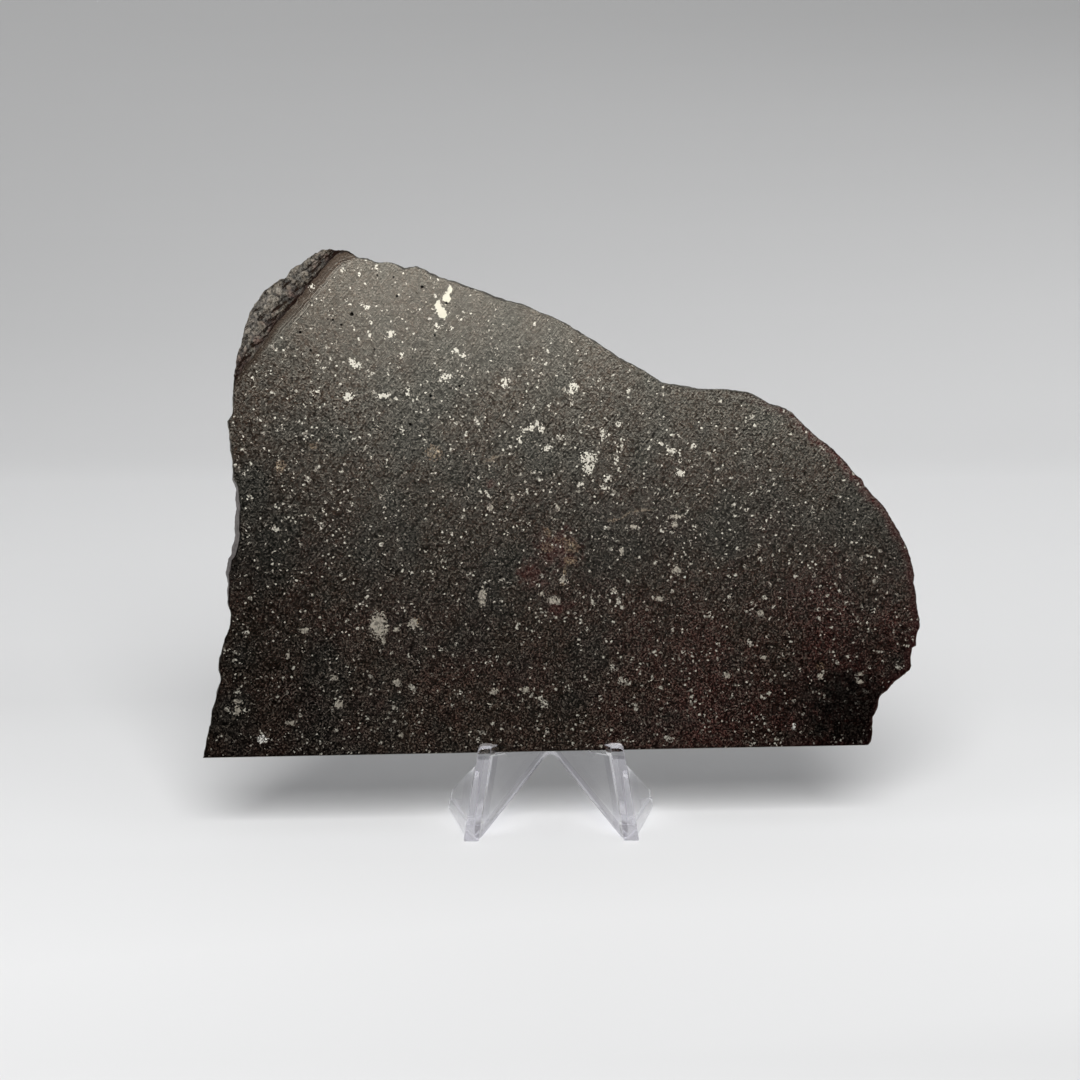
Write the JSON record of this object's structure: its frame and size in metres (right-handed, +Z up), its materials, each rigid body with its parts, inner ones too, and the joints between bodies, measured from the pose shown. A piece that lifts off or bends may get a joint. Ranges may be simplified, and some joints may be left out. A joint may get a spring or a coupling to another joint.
{
  "type": "chondrite meteorite slice on a clear display easel",
  "caption": "Thin sawn stone slab with natural edges, a broken corner strip and one straight cut edge, leaning back in a small clear moulded easel.",
  "frame": {"origin": "on the table, under the middle of the whole object's bounding box", "axes": "+X along the slab's long side, to the right as seen from its face; -Y the way the face looks; +Z up"},
  "size_m": [0.1442, 0.0306, 0.1162],
  "materials": {
    "chondrite": "fine-sawn, semi-gloss, with bright metal grains",
    "clear_acrylic": "clear, moulded, glossy"
  },
  "bodies": {
    "root": {"slice": "chondrite", "easel": "clear_acrylic"}
  },
  "joints": []
}
